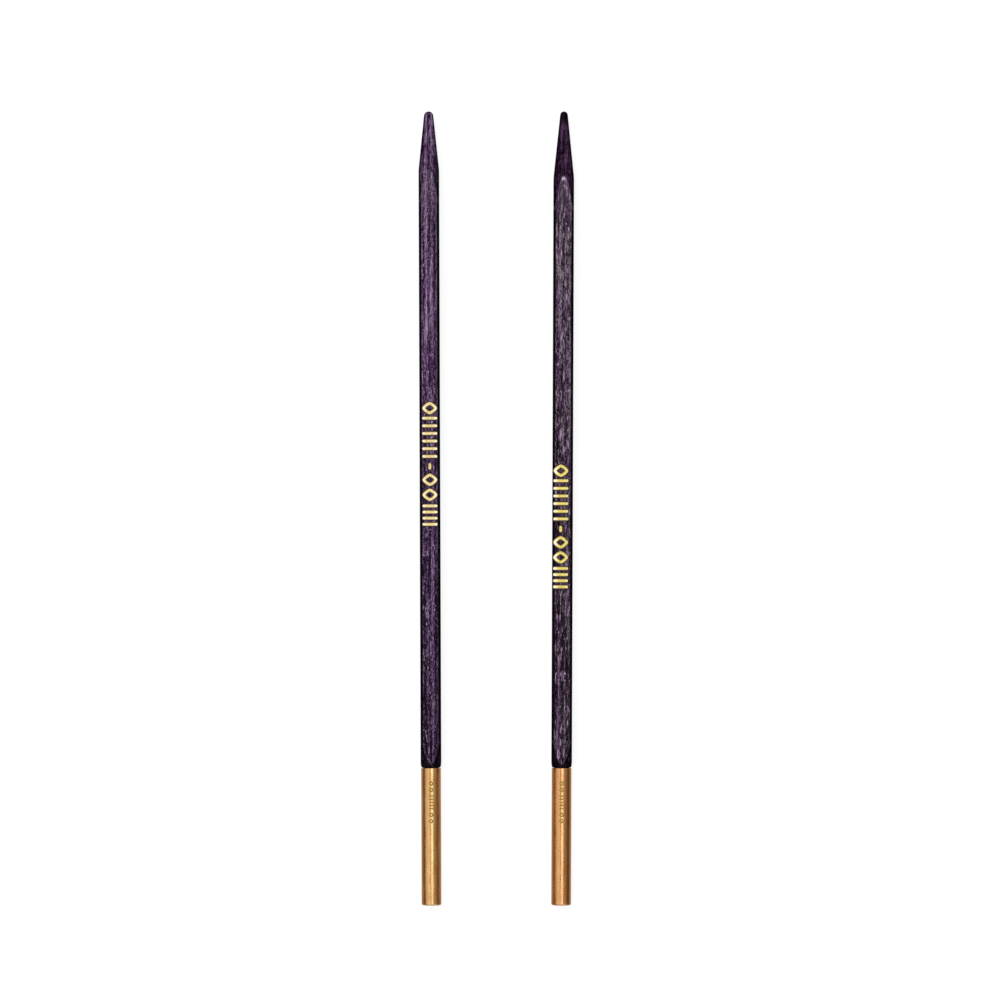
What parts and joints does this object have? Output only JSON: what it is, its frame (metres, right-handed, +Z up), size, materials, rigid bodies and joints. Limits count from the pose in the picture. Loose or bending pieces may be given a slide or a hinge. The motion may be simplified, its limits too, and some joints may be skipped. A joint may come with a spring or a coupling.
{
  "type": "interchangeable knitting needle tips",
  "caption": "Pair of square wooden knitting needle tips with round brass ferrules, tapped at the free end for a cable's screw.",
  "frame": {"origin": "centre of the pair's footprint, on the surface that the needles lie on", "axes": "+Y along the needles towards their points, +X from the left needle to the right one, +Z up"},
  "size_m": [0.0248, 0.127, 0.0033],
  "materials": {
    "dyed_birch_left": "satin lacquer over purple-dyed laminated birch",
    "dyed_birch_right": "satin lacquer over greyer purple-dyed laminated birch",
    "ferrule_brass": "turned and satin polished"
  },
  "bodies": {
    "left_needle": {"left_shaft": "dyed_birch_left", "left_ferrule": "ferrule_brass"},
    "right_needle": {"right_shaft": "dyed_birch_right", "right_ferrule": "ferrule_brass"}
  },
  "joints": [
    {"name": "right_needle_lift", "type": "slide", "parent": "left_needle", "child": "right_needle", "axis": [0, 0, 1], "range_m": [0, 0.06]}
  ]
}
